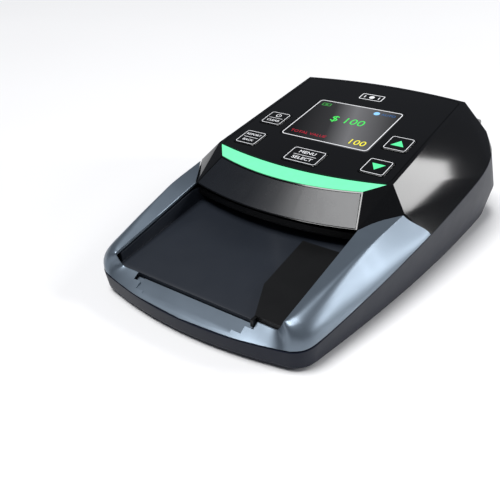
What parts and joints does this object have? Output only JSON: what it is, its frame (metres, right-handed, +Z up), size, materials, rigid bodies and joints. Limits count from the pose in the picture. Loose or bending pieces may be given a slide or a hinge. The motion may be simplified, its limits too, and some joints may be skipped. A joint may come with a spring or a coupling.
{
  "type": "banknote counting machine",
  "caption": "Compact automatic note checker and counter with a sloped feed tray, sliding note guide and a rear-hinged head carrying keys, screen and light bar.",
  "frame": {"origin": "middle of the overall box's bottom face, on the table", "axes": "+X to the machine's right as its user faces it, +Y from the user to the rear, +Z up"},
  "size_m": [0.1446, 0.1964, 0.0603],
  "materials": {
    "base_plastic": "fine texture, charcoal blue",
    "satin_housing": "satin metallic blue-grey lacquer on plastic",
    "tray_plastic": "matt charcoal",
    "gloss_black": "piano black",
    "guide_plastic": "satin black",
    "mint_light": "translucent mint light guide",
    "fascia_plastic": "smoked gloss",
    "rubber_black": "matt",
    "steel": "bright",
    "resin": "natural acetal",
    "board_green": "solder mask",
    "dark_glass": "tinted",
    "battery_wrap": "shrink wrap"
  },
  "bodies": {
    "base": {"base_shell": "base_plastic", "battery_hatch": "base_plastic", "battery_pack": "battery_wrap", "foot_1": "rubber_black", "foot_2": "rubber_black", "foot_3": "rubber_black", "foot_4": "rubber_black", "case_screw_1": "steel", "case_screw_2": "steel", "case_screw_3": "steel", "case_screw_4": "steel", "rail_housing": "satin_housing", "tray_bed": "tray_plastic", "sensor_glass_lower": "dark_glass", "bracket_left": "steel", "bracket_right": "steel", "main_board": "board_green", "dc_jack": "base_plastic", "usb_port": "steel", "motor": "steel", "drive_belt": "rubber_black", "hinge_pin_left": "steel", "hinge_pin_right": "steel"},
    "head": {"head_shell": "gloss_black", "panel_overlay": "gloss_black", "display_window": "dark_glass", "display_module": "steel", "light_bar": "mint_light", "fascia_panel": "fascia_plastic", "keypad_board": "board_green", "upper_guide": "guide_plastic", "sensor_glass_upper": "dark_glass", "sensor_bar_upper": "tray_plastic", "magnetic_head": "steel"},
    "guide": {"note_guide": "guide_plastic"},
    "drive_rear": {"drive_shaft_rear": "steel", "feed_roller_rear_left": "rubber_black", "feed_roller_rear_right": "rubber_black", "drive_gear": "resin"},
    "drive_front": {"drive_shaft_front": "steel", "feed_roller_front_left": "rubber_black", "feed_roller_front_right": "rubber_black", "encoder_disc": "steel"},
    "motor_rotor": {"motor_pinion": "resin"},
    "pinch_front": {"pinch_shaft_front": "steel", "pinch_roller_front_left": "rubber_black", "pinch_roller_front_right": "rubber_black"},
    "pinch_rear": {"pinch_shaft_rear": "steel", "pinch_roller_rear_left": "rubber_black", "pinch_roller_rear_right": "rubber_black"},
    "key_power": {"key_power": "gloss_black"},
    "key_back": {"key_back": "gloss_black"},
    "key_menu": {"key_menu": "gloss_black"},
    "key_up": {"key_up": "gloss_black"},
    "key_down": {"key_down": "gloss_black"}
  },
  "joints": [
    {"name": "head_hinge", "type": "hinge", "parent": "base", "child": "head", "pos_m": [0, 0.0952, 0.0441], "axis": [-1, 0, 0], "range_deg": [0, 65]},
    {"name": "guide_slide", "type": "slide", "parent": "base", "child": "guide", "axis": [1, 0, 0], "range_m": [-0.012, 0]},
    {"name": "feed_rear_spin", "type": "hinge", "parent": "base", "child": "drive_rear", "pos_m": [0, 0.05275, 0.02872], "axis": [1, 0, 0], "continuous": true},
    {"name": "feed_front_spin", "type": "hinge", "parent": "base", "child": "drive_front", "pos_m": [0, -0.01525, 0.01886], "axis": [1, 0, 0], "continuous": true},
    {"name": "motor_spin", "type": "hinge", "parent": "base", "child": "motor_rotor", "pos_m": [0, 0.04394, 0.01784], "axis": [1, 0, 0], "continuous": true},
    {"name": "pinch_front_spin", "type": "hinge", "parent": "head", "child": "pinch_front", "pos_m": [0, -0.01702, 0.03108], "axis": [1, 0, 0], "continuous": true},
    {"name": "pinch_rear_spin", "type": "hinge", "parent": "head", "child": "pinch_rear", "pos_m": [0, 0.05097, 0.04094], "axis": [1, 0, 0], "continuous": true},
    {"name": "key_power_press", "type": "slide", "parent": "head", "child": "key_power", "axis": [0, 0.1459, -0.9893], "range_m": [0, 0.00045], "stiffness_N_per_m": 1200},
    {"name": "key_back_press", "type": "slide", "parent": "head", "child": "key_back", "axis": [0, 0.1459, -0.9893], "range_m": [0, 0.00045], "stiffness_N_per_m": 1200},
    {"name": "key_menu_press", "type": "slide", "parent": "head", "child": "key_menu", "axis": [0, 0.1459, -0.9893], "range_m": [0, 0.00045], "stiffness_N_per_m": 1200},
    {"name": "key_up_press", "type": "slide", "parent": "head", "child": "key_up", "axis": [0, 0.1459, -0.9893], "range_m": [0, 0.00045], "stiffness_N_per_m": 1200},
    {"name": "key_down_press", "type": "slide", "parent": "head", "child": "key_down", "axis": [0, 0.1459, -0.9893], "range_m": [0, 0.00045], "stiffness_N_per_m": 1200}
  ],
  "couplings": [
    {"joint": "feed_front_spin", "follows": "feed_rear_spin", "ratio": 1},
    {"joint": "motor_spin", "follows": "feed_rear_spin", "ratio": -2.5},
    {"joint": "pinch_front_spin", "follows": "feed_rear_spin", "ratio": -1.4},
    {"joint": "pinch_rear_spin", "follows": "feed_rear_spin", "ratio": -1.4}
  ]
}
